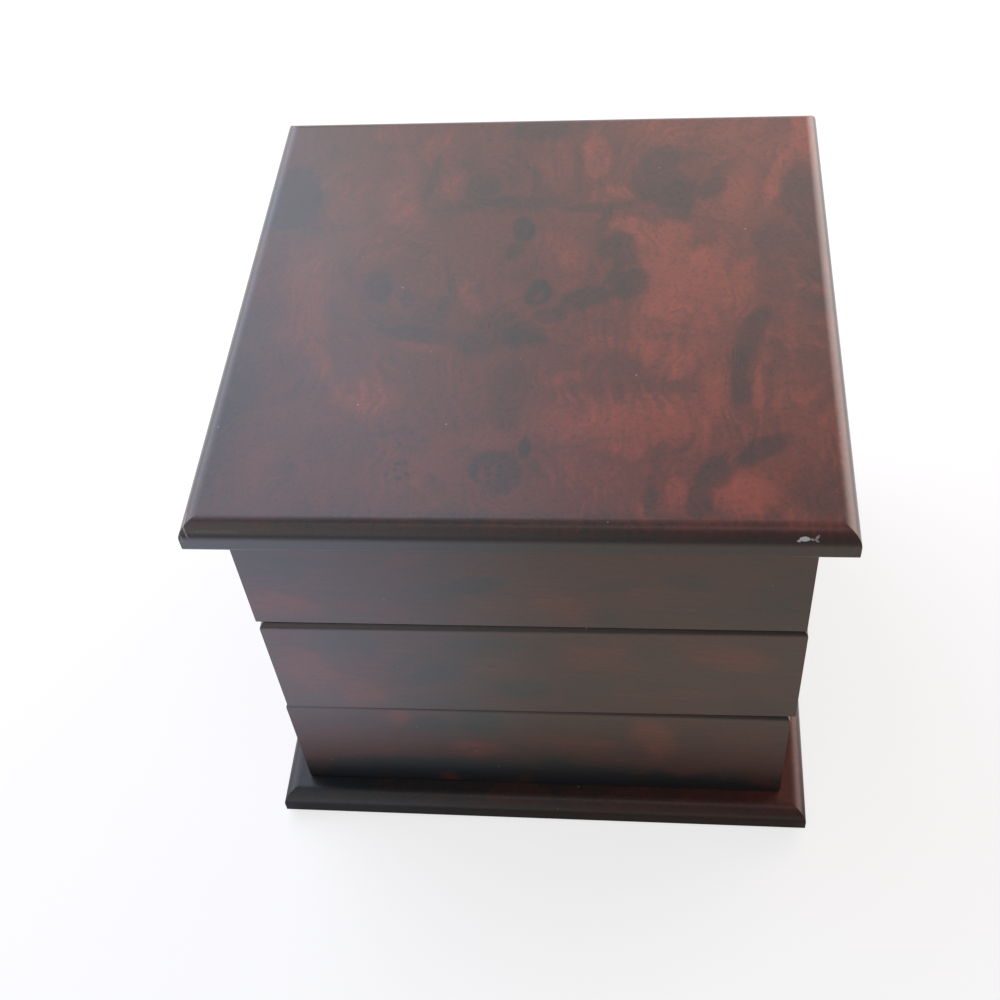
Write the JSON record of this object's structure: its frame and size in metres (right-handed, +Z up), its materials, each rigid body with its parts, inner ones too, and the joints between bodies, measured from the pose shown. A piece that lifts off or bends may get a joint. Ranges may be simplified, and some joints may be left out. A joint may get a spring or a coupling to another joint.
{
  "type": "rotating jewelry box",
  "caption": "Square mahogany-burl jewelry box: tiers swing out about a corner rod, and the top tier has a hinged lid with a mirror, ring rolls and velvet-lined compartments.",
  "frame": {"origin": "centre of the underside of the base, on the surface that the box stands on", "axes": "+Z up, -Y the front of the box, +X its right side; the rod stands in the back right corner"},
  "size_m": [0.181, 0.181, 0.1633],
  "materials": {
    "burl_veneer": "mahogany burl, satin lacquer",
    "floor_board": "raw board",
    "block_wood": "stained hardwood, satin",
    "velvet": "short velvet",
    "felt": "pressed felt",
    "steel": "zinc plated, satin",
    "nylon": "natural nylon",
    "brass": "polished brass",
    "mirror_glass": "silvered glass"
  },
  "bodies": {
    "base": {"base_felt": "felt", "base_plate": "burl_veneer", "base_screws": "steel", "lower_front_wall": "burl_veneer", "lower_right_wall": "burl_veneer", "lower_back_wall": "burl_veneer", "lower_left_wall": "burl_veneer", "lower_floor": "floor_board", "lower_pivot_block": "block_wood", "lower_lining": "velvet", "lower_divider": "velvet", "lower_spacer": "nylon", "pivot_rod": "steel", "rod_lower_washer": "steel", "rod_lower_nut": "steel", "rod_upper_washer": "steel", "rod_upper_nut": "steel"},
    "middle_tier": {"middle_front_wall": "burl_veneer", "middle_right_wall": "burl_veneer", "middle_back_wall": "burl_veneer", "middle_left_wall": "burl_veneer", "middle_floor": "floor_board", "middle_pivot_block": "block_wood", "middle_lining": "velvet", "middle_long_divider": "velvet", "middle_cross_divider": "velvet", "middle_felt": "felt", "middle_spacer": "nylon"},
    "top_tier": {"top_front_wall": "burl_veneer", "top_right_wall": "burl_veneer", "top_back_wall": "burl_veneer", "top_left_wall": "burl_veneer", "top_floor": "floor_board", "top_pivot_block": "block_wood", "pivot_cap": "block_wood", "top_lining": "velvet", "top_long_divider": "velvet", "top_front_divider": "velvet", "top_back_divider": "velvet", "ring_roll_1": "velvet", "ring_roll_2": "velvet", "ring_roll_3": "velvet", "ring_roll_4": "velvet", "ring_roll_5": "velvet", "ring_roll_6": "velvet", "top_felt": "felt", "left_hinge_case_leaf": "brass", "right_hinge_case_leaf": "brass", "hinge_pins": "brass", "case_hinge_screws": "brass"},
    "lid": {"lid_plate": "burl_veneer", "lid_lining": "velvet", "mirror": "mirror_glass", "lid_rests": "felt", "left_hinge_lid_leaf": "brass", "right_hinge_lid_leaf": "brass", "lid_hinge_screws": "brass"}
  },
  "joints": [
    {"name": "middle_swing", "type": "hinge", "parent": "base", "child": "middle_tier", "pos_m": [0.0602, 0.0602, 0.0595], "axis": [0, 0, 1], "continuous": true},
    {"name": "top_swing", "type": "hinge", "parent": "middle_tier", "child": "top_tier", "pos_m": [0.0602, 0.0602, 0.107], "axis": [0, 0, 1], "continuous": true},
    {"name": "lid_hinge", "type": "hinge", "parent": "top_tier", "child": "lid", "pos_m": [-0.00012, 0.08218, 0.15335], "axis": [-1, -0.0052, 0], "range_deg": [0, 100]}
  ]
}
